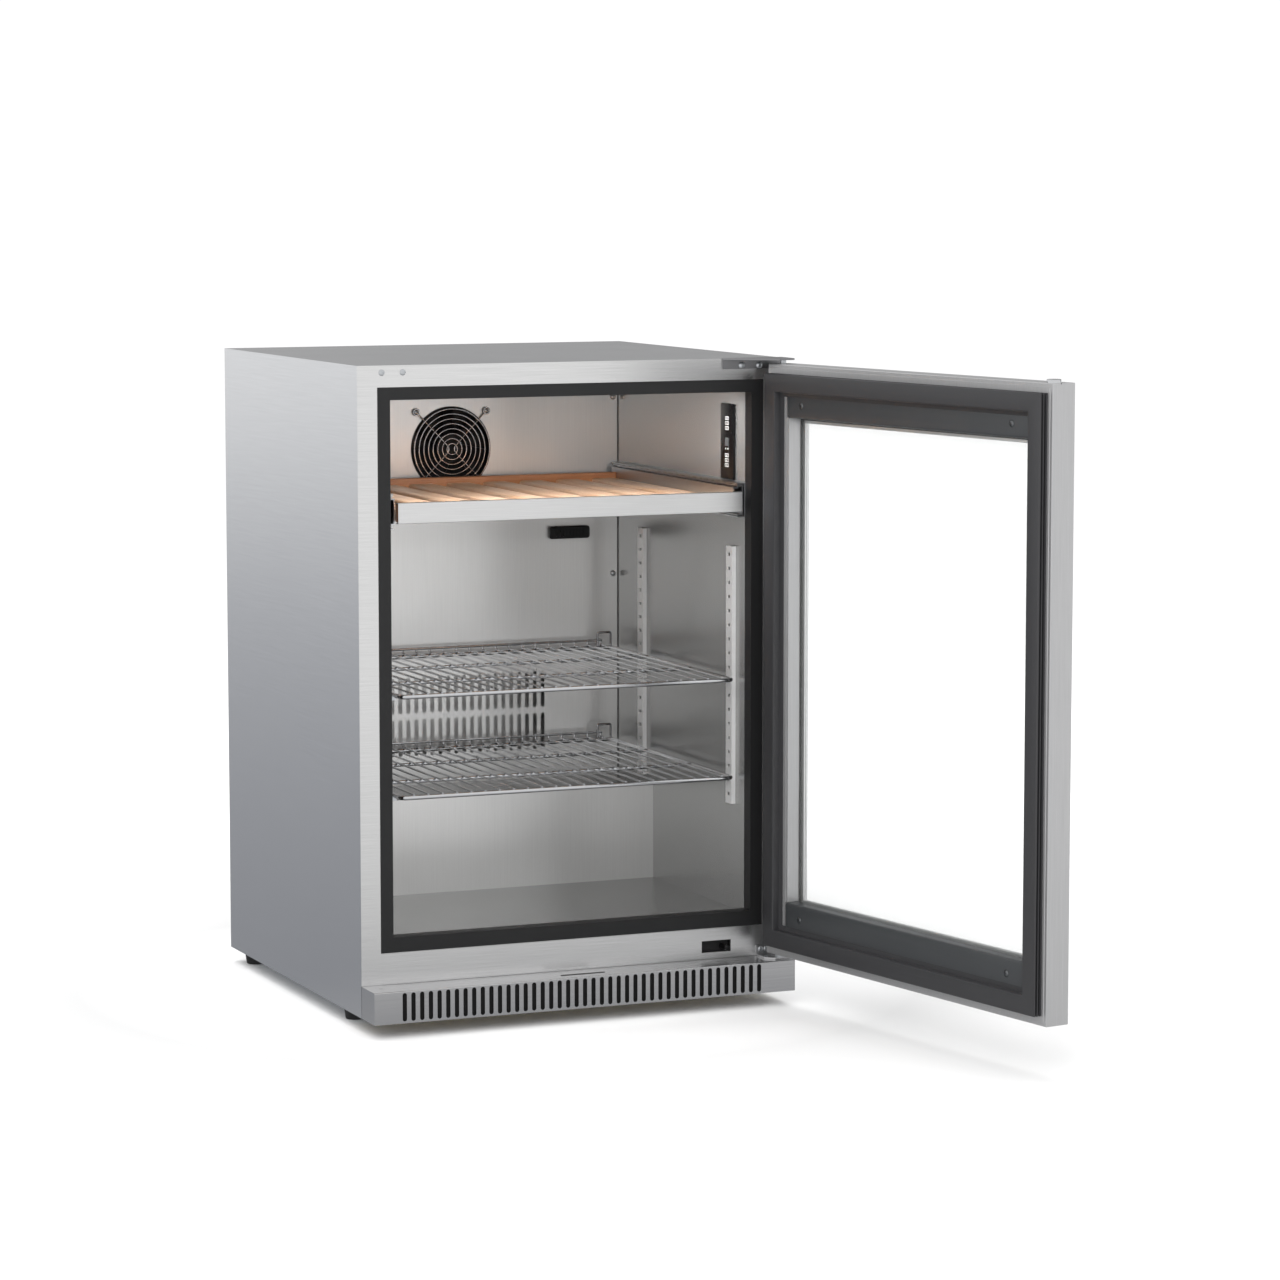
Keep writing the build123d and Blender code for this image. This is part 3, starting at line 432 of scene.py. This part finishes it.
def buildShelf(name, top, body, node):
    railHigh = top - 6.0
    wideHalf, front, back, corner = shelf["halfWide"], shelf["front"], shelf["back"], shelf["corner"]
    loop = []
    for x, depth, sx, sd in ((-1, front, 1, 1), (1, front, -1, 1), (1, back, -1, -1), (-1, back, 1, -1)):
        ends = [(x * wideHalf, depth + sd * corner), (x * wideHalf, depth), (x * wideHalf + sx * corner, depth)]
        loop += ends if (x < 0) == (depth == front) else ends[::-1]
    parts = [wire([at(x, depth, railHigh) for x, depth in loop], shelf["rail"], closed=True, sides=4)]
    wireHigh = railHigh + shelf["rail"] + shelf["wire"] - 0.3
    for count in range(-shelf["wires"], shelf["wires"] + 1):
        x = count * shelf["wirePitch"]
        route = [(front - 1.5, wireHigh - 1.0), (front + 4, wireHigh), (back - 6, wireHigh),
                 (back + 0.9, wireHigh), (back + 0.9, wireHigh + 4), (back + 0.9, railHigh + shelf["upturn"])]
        parts.append(wire([at(x, depth, h) for depth, h in route], shelf["wire"], sides=2))
    for depth in shelf["crossBars"]:
        ends = [at(side * wideHalf, depth, railHigh + 0.6) for side in (-1, 1)]
        parts.append(wire(ends, shelf["barWire"]))
    reach, high = wideHalf - shelf["upperInset"], railHigh + shelf["upperHigh"]
    parts.append(wire([at(-reach, back + 1, high), at(reach, back + 1, high)], shelf["upperRail"]))
    # pull-out stop: an upright loop at the back
    left, right = shelf["stop"]
    high, corner = railHigh + shelf["stopHigh"], shelf["stopCorner"]
    loop = [(left, railHigh), (left, high - corner - 0.5), (left, high), (left + corner, high),
            (right - corner, high), (right, high), (right, high - corner - 0.5), (right, railHigh)]
    parts.append(wire([at(x, back, h) for x, h in loop], shelf["stopWire"]))
    hand(join(parts), name, chromeWire, body, (node,))


# wine rack: beech frame and slats behind a steel band
rack = {"half": 239.2, "slatWide": 36.0, "sideWide": 38.0, "pitch": 54.7, "slats": 3,
        "low": 643.0, "top": 655.5, "front": 24.0, "back": 436.0, "railThick": 12.0, "edge": 3.6,
        "battens": (110.0, 330.0), "battenDeep": 28.0, "battenTall": 8.5,
        "backRail": (641.0, 663.5), "frontRail": (640.1, 664.4), "frontRailFace": 4.2}


def buildRack():
    half, low, top = rack["half"], rack["low"], rack["top"]
    d0, d1 = rack["front"], rack["back"] - rack["railThick"]
    slats = []
    for count in range(-rack["slats"], rack["slats"] + 1):
        x = count * rack["pitch"]
        slats.append(slab(x - rack["slatWide"] / 2, x + rack["slatWide"] / 2, d0, d1,
                          low, top, rack["edge"], 4, along=1))
    for depth in rack["battens"]:
        slats.append(slab(-half, half, depth, depth + rack["battenDeep"], low - rack["battenTall"], low, 1.0))
    hand(join(slats), "rackSlats", beechSlat, "wine_rack", ("rack_slats",))
    sides = [slab(side * (half - rack["sideWide"]), side * half, d0, d1, low, top, rack["edge"], 4, along=1)
             for side in (-1, 1)]
    hand(join(sides), "rackSideRails", beechSlat, "wine_rack", ("rack_side_rails",))
    backRail = slab(-half, half, d1, rack["back"], *rack["backRail"], 1.5, 3)
    hand(backRail, "rackBackRail", beechRailShaded, "wine_rack", ("rack_back_rail",))
    frontRail = slab(-half, half, rack["frontRailFace"], d0, *rack["frontRail"], 0.8)
    hand(frontRail, "rackFrontRail", beechRailShaded, "wine_rack", ("rack_front_rail",))


# door: mitred rings with a profile make the seal, the spacer and the surround
hinge = {"x": 285.5, "depth": -30.4, "open": 100.2}


def swingOpen(piece):  # a door piece is made shut, then turned about the hinge pins
    pin = at(hinge["x"], hinge["depth"], 0)
    turn = Matrix.Rotation(math.radians(hinge["open"]), 4, "Z")
    piece.matrix_world = Matrix.Translation(pin) @ turn @ Matrix.Translation(-pin) @ piece.matrix_world
    return settle(piece)


def profileRing(half, low, top, profile):
    # profile is a closed run of (inset, depth), carried all round a mitred frame
    middle, tall = (low + top) / 2, (top - low) / 2
    deselect()
    bpy.ops.mesh.primitive_plane_add(size=2, location=(0, 0, 0), rotation=(math.pi / 2, 0, 0))
    ring = bpy.context.object
    inset, depth = profile[0]
    ring.scale = ((half - inset) * mm, (tall - inset) * mm, 1)
    ring.location = at(0, depth, middle)
    settle(ring)
    bpy.ops.object.mode_set(mode="EDIT")
    bpy.ops.mesh.select_all(action="SELECT")
    bpy.ops.mesh.delete(type="ONLY_FACE")
    bpy.ops.mesh.select_all(action="SELECT")
    centre = at(0, 0, middle)
    for nextInset, nextDepth in [*profile[1:], profile[0]]:
        bpy.ops.mesh.extrude_edges_move(TRANSFORM_OT_translate={"value": (0, (nextDepth - depth) * mm, 0)})
        grow = ((half - nextInset) / (half - inset), 1, (tall - nextInset) / (tall - inset))
        bpy.ops.transform.resize(value=grow, center_override=centre)
        inset, depth = nextInset, nextDepth
    bpy.ops.mesh.select_all(action="SELECT")
    bpy.ops.mesh.remove_doubles(threshold=0.00001)
    bpy.ops.mesh.normals_make_consistent(inside=False)
    bpy.ops.object.mode_set(mode="OBJECT")
    return ring


door = {"half": 297.0, "low": 49.2, "top": 835.8, "back": -13.7, "face": -49.8,
        "windowHalf": 253.5, "windowLow": 84.0, "windowTop": 802.6, "rim": 34.8, "jointLine": (-28.4, -27.0)}
# the seal's outer edge, in from the door's: at the sides, below and above
sealInset = {"side": 8.4, "low": 12.6, "top": 11.8}
# out to in: ribbed outer wall, flat magnet face, inner wall, thin lip towards the glass
sealProfile = [
    (0, -13.7), (0, -11.4), (4.2, -11.0), (4.2, -8.9), (0, -8.5), (0, -7.0), (4.2, -6.6), (4.2, -4.6),
    (0, -4.2), (0, -2.6), (0.6, -1.7), (1.8, -1.2), (21.6, -1.2), (23.0, -1.7), (23.6, -3.0),
    (23.9, -11.4), (25.4, -12.5), (29.6, -12.9), (30.0, -13.3), (30.0, -13.7)]

# double glazing: panes' facing sides, spacer width, height of its lower and upper bars
glazing = {"innerPane": -36.4, "outerPane": -44.4, "sealLine": 1.3, "wide": 9.0, "low": 116.0, "top": 768.0,
           "sealShort": 4.0, "border": 0.6}
cap = {"inset": 11.0, "depth": -25.0, "radius": 9.0, "high": 4.5, "round": 1.1,
       "rings": ((5.4, 1.4), (2.6, 2.6))}


def buildSealAndGlazing():
    seal = profileRing(door["half"] - sealInset["side"], door["low"] + sealInset["low"],
                       door["top"] - sealInset["top"], sealProfile)
    hand(swingOpen(seal), "doorSeal", sealRubber, "door", ("door_seal",), 50)

    # hollow spacer bar of the double glazing between two dark sealing lines
    edge = door["windowHalf"], glazing["low"], glazing["top"]
    wide, d0, d1 = glazing["wide"], glazing["innerPane"], glazing["outerPane"]
    line = glazing["sealLine"]
    near, far = d0 - line, d1 + line
    bar = profileRing(*edge, [
        (0.2, near), (wide - 0.4, near), (wide, near - 0.5), (wide, near - 1.7), (wide - 1.2, near - 1.9),
        (wide - 1.2, near - 2.5), (wide, near - 2.7), (wide, far + 0.5), (wide - 0.4, far), (0.2, far)])
    hand(swingOpen(bar), "glazingSpacer", bandSteel, "door", ("glass_spacer",))
    reach = wide - glazing["sealShort"]
    for label, near, far in (("Inner", d0, d0 - line), ("Outer", d1 + line, d1)):
        strip = profileRing(*edge, [(0.2, near), (reach, near), (reach + 0.3, (near + far) / 2), (reach, far),
                                    (0.2, far)])
        hand(swingOpen(strip), "glazingSeal" + label, footRubber, "door")
    spans = {"Bottom": (door["windowLow"], glazing["low"]), "Top": (glazing["top"], door["windowTop"])}
    for label, span in spans.items():
        border = slab(-door["windowHalf"], door["windowHalf"], d1, d1 + glazing["border"], *span, 0.2, 1)
        hand(swingOpen(border), "printedBorder" + label, glossBlack, "door")


def buildSurround():  # stainless, with a folded rim on the cabinet side and a joint line along its top
    inner, back, face = door["rim"], door["back"], door["face"]
    surround = profileRing(door["half"], door["low"], door["top"], [
        (5.0, back), (4.6, back - 0.9), (0.8, back - 0.9), (0, back - 1.7),
        (0, face + 1.2), (1.2, face), (inner, face), (inner, back)])
    posts = [slab(side * door["windowHalf"], side * (door["half"] - inner + 0.2), face, back,
                  door["windowLow"] - 0.2, door["top"] - inner + 0.2) for side in (-1, 1)]
    line = slab(-door["half"] - 2, door["half"] + 2, *door["jointLine"], door["top"] - 1.4, door["top"] + 2)
    cutWith(surround, line)
    hand(swingOpen(join([surround, *posts])), "doorSurround", doorSteel, "door",
         ("door_frame",), 25)


def buildTopCap():  # turned cap of the free corner, with a ring groove and a dished centre
    deselect()
    spot = at(-door["half"] + cap["inset"], cap["depth"], door["top"] + cap["high"] / 2)
    bpy.ops.mesh.primitive_cylinder_add(vertices=48, radius=cap["radius"] * mm, depth=cap["high"] * mm,
                                        location=spot)
    knob = settle(bpy.context.object)
    rim = door["top"] + cap["high"] - 0.1
    selectEdges(knob, lambda a, b: min(a.z, b.z) > at(0, 0, rim).z)
    bpy.ops.mesh.bevel(offset=cap["round"] * mm, segments=4, affect="EDGES")
    bpy.ops.object.mode_set(mode="OBJECT")
    for radius, deep in cap["rings"]:
        deselect()
        bpy.ops.mesh.primitive_cylinder_add(vertices=48, radius=radius * mm, depth=deep * mm,
                                            location=spot + Vector((0, 0, cap["high"] / 2 * mm)))
        cutWith(knob, bpy.context.object)
    hand(swingOpen(knob), "doorTopCap", chromeWire, "door", ("door_top_cap",))


# covers bolted over the glass
bars = {"half": 252.5, "top": (766.7, 800.8), "bottom": (84.2, 123.5), "front": -13.2, "root": -32.2,
        "screws": (-219.5, 220.5), "sinkRadius": 4.4, "sink": 1.2}


def buildBars():
    for label in ("top", "bottom"):
        low, high = bars[label]
        bar = slab(-bars["half"], bars["half"], bars["root"], bars["front"], low, high, 3.2, 5)
        for x in bars["screws"]:
            deselect()
            bpy.ops.mesh.primitive_cylinder_add(
                vertices=32, radius=bars["sinkRadius"] * mm, depth=bars["sink"] * mm,
                rotation=(math.pi / 2, 0, 0), location=at(x, bars["front"], (low + high) / 2))
            cutWith(bar, bpy.context.object)
        hand(swingOpen(bar), label + "CoverBar", slatePaint, "door", (f"door_{label}_bar",), 30)
    heads = [crossHeadScrew(at(x, bars["front"] - 0.5, sum(bars[label]) / 2), (0, 1, 0), 3.9, 1.4, 0.7)
             for label in ("top", "bottom") for x in bars["screws"]]
    hand(swingOpen(join(heads)), "coverBarScrews", screwSteel, "door", ("door_bar_screws",))


# touch panel with generic marks
panel = {"wall": 253.5, "d0": 49.8, "d1": 92.2, "low": 677.5, "top": 778.7, "proud": 3.2,
         "keyRows": (0.17, 0.66), "keys": 3, "keyPitch": 0.065, "dots": 0.585, "display": (0.56, 0.45)}


def buildPanel():
    inside, face = panel["wall"], panel["wall"] - panel["proud"]
    body = slab(face, inside, panel["d0"], panel["d1"], panel["low"], panel["top"], 2.6, 5, along=0)
    soften = body.modifiers.new("rim", "BEVEL")
    soften.width = 0.7 * mm
    soften.segments = 2
    activate(body)
    bpy.ops.object.modifier_apply(modifier="rim")
    hand(body, "touchPanel", glossBlack, "cabinet", ("control_panel",))

    tall = panel["top"] - panel["low"]
    middle = (panel["d0"] + panel["d1"]) / 2
    marks = []

    def mark(dx, fromTop, wide, high):  # a printed patch on the face, 0.15 mm thick
        h = panel["top"] - fromTop * tall
        marks.append(slab(face - 0.15, face + 0.1, middle + dx - wide / 2, middle + dx + wide / 2,
                          h - high, h, 0.05, 1))

    for first in panel["keyRows"]:
        for key in range(panel["keys"]):
            top = first + key * panel["keyPitch"]
            mark(-5.2, top, 1.1, 4.6)
            mark(5.2, top, 1.1, 4.6)
            mark(0, top, 9.2, 1.0)
            mark(0, top + 0.037, 9.2, 1.0)
            mark(0, top + 0.018, 3.4, 1.3)
    for dx in (-3.6, 3.6):
        mark(dx, panel["dots"], 2.6, 2.2)
    hand(join(marks), "panelMarks", markInk, "cabinet")
    low, high = (panel["top"] - share * tall for share in panel["display"])
    window = slab(face - 0.1, face + 0.1, middle - 6.0, middle + 6.0, low, high, 0.05, 1)
    hand(window, "panelDisplay", displayGrey, "cabinet")


# screws on the cabinet: x, depth and height of each, radius, rise and depth of the recess
ductHeads = {"x": (-245.7, 245.7), "depth": 453.5, "heights": (517.0, 768.5), "size": (4.2, 3.0)}
frontHeads = {
    "topBracket": {"x": (238.1, 263.4), "depth": -2.6, "height": 833.4, "size": (4.6, 2.4)},
    "bottomBracket": {"x": (268.0, 276.0), "depth": -2.6, "height": 50.5, "size": (3.4, 1.8)},
    "blanking": {"x": (-264.5, -236.0), "depth": 0, "height": 833.3, "size": (4.1, 1.7, 0.6)},
}


def buildScrews():
    duct = [crossHeadScrew(at(x, ductHeads["depth"], h), toFront, *ductHeads["size"])
            for x in ductHeads["x"] for h in ductHeads["heights"]]
    hand(join(duct), "ductScrews", zincSteel, "cabinet", ("duct_screws",))
    heads = [crossHeadScrew(at(x, row["depth"], row["height"]), toFront, *row["size"])
             for row in frontHeads.values() for x in row["x"]]
    hand(join(heads), "cabinetScrews", zincSteel, "cabinet", ("cabinet_screws",))


# kick plate trims and the seams of the front, each from its left, front and lower sides to the opposite ones
trims = {
    "ear": (-297.0, -252.0, -47.6, -1.0, 41.6, 42.1), "earHole": (-279, -24, 42), "holeRadius": 2.6,
    "grip": (-32.0, 30.0, -31.0, -28.4, 41.6, 42.3), "slotShade": (-290.0, 290.0, -47.0, -38.0, 1.5, 39.5),
    "sill": (-269.5, 261.0, -0.45, 0.2, 43.0, 82.6), "switchNotch": (182.5, 225.8, -2, 2, 49.9, 66.8),
}


def buildSeams():
    ear = slab(*trims["ear"], 0.2, 1)
    deselect()
    bpy.ops.mesh.primitive_cylinder_add(vertices=24, radius=trims["holeRadius"] * mm, depth=4 * mm,
                                        location=at(*trims["earHole"]))
    cutWith(ear, bpy.context.object)
    hand(ear, "kickEarPlate", kickSteel, "cabinet")
    hand(slab(*trims["grip"], 0.25, 2), "kickJointCover", footRubber, "cabinet")
    # painted shade: a black sheet just behind the kick's slots stands in for the shade inside the base
    hand(slab(*trims["slotShade"], 1.5, 2), "kickSlotShadeSheet", slotShadeBlack, "cabinet")
    sill = slab(*trims["sill"], 0.2, 1)
    cutWith(sill, slab(*trims["switchNotch"]))
    hand(sill, "frontSillPlate", frontSteel, "cabinet")


# levelling feet
foot = {"x": 272.0, "depths": {"front": 100.0, "rear": 520.0}, "base": 12.0, "top": 15.0, "tall": 20.0,
        "collar": -5.0, "edge": 1.2}


def buildFeet():
    for side, sideName in ((-1, "left"), (1, "right")):
        for depthName, depth in foot["depths"].items():
            deselect()
            bpy.ops.mesh.primitive_cone_add(vertices=40, radius1=foot["base"] * mm, radius2=foot["top"] * mm,
                                            depth=foot["tall"] * mm,
                                            location=at(side * foot["x"], depth, -foot["tall"] / 2))
            cone = bpy.context.object
            bpy.ops.object.mode_set(mode="EDIT")
            bpy.ops.mesh.select_all(action="SELECT")
            bpy.ops.mesh.bisect(plane_co=at(0, 0, foot["collar"]), plane_no=(0, 0, 1))
            bpy.ops.object.mode_set(mode="OBJECT")
            selectEdges(cone, lambda a, b: abs(a.z - b.z) < 0.01 * mm)
            bpy.ops.mesh.bevel(offset=foot["edge"] * mm, segments=2, affect="EDGES")
            bpy.ops.object.mode_set(mode="OBJECT")
            hand(cone, "foot" + depthName.title() + sideName.title(), footRubber, "cabinet",
                 (f"foot_{depthName}_{sideName}",))


buildFanGuard()
buildShelf("lowerWireShelf", 287.7, "shelf_lower", "wire_shelf_lower")
buildShelf("upperWireShelf", 419.4, "shelf_upper", "wire_shelf_upper")
print("fan guard and shelves done")
buildRack()
print("wine rack done")
buildSealAndGlazing()
buildSurround()
buildTopCap()
buildBars()
print("door done")
buildPanel()
buildScrews()
buildSeams()
buildFeet()
print("panel, screws, seams and feet done")

# stage, light, camera
studio = {
    "skyForDiffuse": 1.06, "skyLeft": 1.05, "skyRight": 0.38, "skyFront": 1.0,
    "floorGrey": "#ffffff", "floorSize": 80.0,
    # painted shadow: the sheet's tone by distance in metres, a little darker where the door's shadow falls
    "paper": ((0.36, 1.0), (0.58, 0.68), (0.90, 0.74), (1.3, 0.90), (3.2, 0.98)), "paperReach": 4.0,
    # what polished steel sees of the floor, from near the fridge out to glossReach metres
    "glossReach": 20.0, "behindBlue": 0.14, "turnsFrom": -0.9, "turnsTo": 0.1,
    "floorBehind": ((0.02, 0.36), (0.10, 0.42), (0.24, 0.52), (0.50, 0.80), (0.95, 1.12)),
    "floorInFront": ((0.01, 0.46), (0.05, 0.72), (0.12, 0.98), (0.30, 1.06), (0.95, 1.08)),
}


def floorTone(tree, reach, stops, tint):
    ramp = addNode(tree, "ShaderNodeValToRGB", {"Fac": reach})
    dots = ramp.color_ramp.elements
    while len(dots) < len(stops):
        dots.new(0.5)
    for dot, (spot, level) in zip(dots, stops):
        dot.position = spot
        cool = tint * (1 - min(level, 1))
        dot.color = (level * (1 - cool), level * (1 - cool * 0.7), level, 1)
    return ramp.outputs["Color"]


def buildStage():
    deselect()
    bpy.ops.mesh.primitive_plane_add(size=studio["floorSize"], location=(0, 0, 0))
    floor = bpy.context.object
    floor.name = "floorSheet"
    material, tree, base = newMaterial("matteFloorPaper", studio["floorGrey"], Roughness=1.0)
    base.inputs["Specular IOR Level"].default_value = 0.0
    where = addNode(tree, "ShaderNodeTexCoord")
    split = addNode(tree, "ShaderNodeSeparateXYZ", {"Vector": where.outputs["Object"]})
    reach = addNode(tree, "ShaderNodeVectorMath", operation="LENGTH")
    tree.links.new(where.outputs["Object"], reach.inputs[0])
    # painted shadow: the floor's base colour follows these stops by distance from the middle
    paperSpan = remap(tree, reach.outputs["Value"], From_Max=studio["paperReach"])
    paintedShadowStops = [(near / studio["paperReach"], level) for near, level in studio["paper"]]
    tree.links.new(floorTone(tree, paperSpan, paintedShadowStops, 0.0), base.inputs["Base Color"])
    glossSpan = remap(tree, reach.outputs["Value"], From_Max=studio["glossReach"])
    behind = floorTone(tree, glossSpan, studio["floorBehind"], studio["behindBlue"])
    ahead = floorTone(tree, glossSpan, studio["floorInFront"], 0.0)
    side = remap(tree, split.outputs["Y"], From_Min=studio["turnsFrom"], From_Max=studio["turnsTo"])
    tone = mixColours(tree, ahead, behind, side, "MIX")
    glow = addNode(tree, "ShaderNodeEmission", {"Color": tone}, Strength=1.0)
    path = addNode(tree, "ShaderNodeLightPath")
    mix = addNode(tree, "ShaderNodeMixShader", {"Fac": path.outputs["Is Glossy Ray"]})
    tree.links.new(base.outputs["BSDF"], mix.inputs[1])
    tree.links.new(glow.outputs["Emission"], mix.inputs[2])
    tree.links.new(mix.outputs["Shader"], tree.nodes["Material Output"].inputs["Surface"])
    floor.data.materials.append(material)


def buildRoom():  # white; in reflections bright in front and on the left, greyer behind on the right
    world = bpy.data.worlds.new("paleStudio")
    bpy.context.scene.world = world
    world.use_nodes = True
    tree = world.node_tree
    sky = tree.nodes["Background"]
    sky.inputs["Color"].default_value = (1, 1, 1, 1)
    sky.inputs["Strength"].default_value = studio["skyForDiffuse"]
    where = addNode(tree, "ShaderNodeTexCoord")
    split = addNode(tree, "ShaderNodeSeparateXYZ", {"Vector": where.outputs["Generated"]})
    level = remap(tree, split.outputs["X"], From_Min=-0.35, From_Max=0.35,
                  To_Min=studio["skyLeft"], To_Max=studio["skyRight"])
    ahead = remap(tree, split.outputs["Y"], From_Min=0.15, From_Max=-0.15)
    blend = addNode(tree, "ShaderNodeMix", {"Factor": ahead, "A": level},
                    data_type="FLOAT", B=studio["skyFront"])
    walls = addNode(tree, "ShaderNodeBackground", {"Strength": blend.outputs["Result"]}, Color=(1, 1, 1, 1))
    path = addNode(tree, "ShaderNodeLightPath")
    mix = addNode(tree, "ShaderNodeMixShader", {"Fac": path.outputs["Is Glossy Ray"]})
    tree.links.new(sky.outputs["Background"], mix.inputs[1])
    tree.links.new(walls.outputs["Background"], mix.inputs[2])
    tree.links.new(mix.outputs["Shader"], tree.nodes["World Output"].inputs["Surface"])


def softBox(name, spot, target, size, watt):
    deselect()
    bpy.ops.object.light_add(type="AREA", location=spot)
    lamp = bpy.context.object
    lamp.name = name
    lamp.data.shape = "RECTANGLE"
    lamp.data.size, lamp.data.size_y = size
    lamp.data.energy = watt
    lamp.rotation_euler = (Vector(target) - Vector(spot)).to_track_quat("-Z", "Y").to_euler()
    lamp.visible_glossy = False  # the steel takes its reflections from the room alone


# metres; the last lamp is the strip in the liner's ceiling
softBoxes = {
    "keySoftBox": {"spot": (-2.2, -3.2, 3.0), "target": (0, 0, 0.5), "size": (2.5, 2.0), "watt": 70.0},
    "frontSoftBox": {"spot": (-0.6, -3.4, 1.6), "target": (0, 0.1, 0.55), "size": (1.2, 1.0), "watt": 18.0},
    "topSoftBox": {"spot": (0.3, 0.6, 3.2), "target": (0, 0, 0.4), "size": (3.0, 3.0), "watt": 60.0},
    "ceilingLamp": {"spot": (0, -0.236, 0.815), "target": (0, -0.20, 0.3), "size": (0.44, 0.03), "watt": 1.9},
}
view = {"spot": (-2.0965, -5.3851, 1.125), "lookDown": 6.466, "turn": -23.201, "lens": 119.64, "sensor": 36.0}


def buildCamera():
    deselect()
    bpy.ops.object.camera_add(location=view["spot"])
    camera = bpy.context.object
    camera.name = "studioCamera"
    camera.rotation_euler = (math.radians(90 - view["lookDown"]), 0, math.radians(view["turn"]))
    camera.data.lens = view["lens"]
    camera.data.sensor_width = view["sensor"]
    bpy.context.scene.camera = camera


buildStage()
buildRoom()
for name, lamp in softBoxes.items():
    softBox(name, **lamp)
buildCamera()
bpy.context.scene.view_settings.view_transform = "Standard"
print("stage, lights and camera ready")
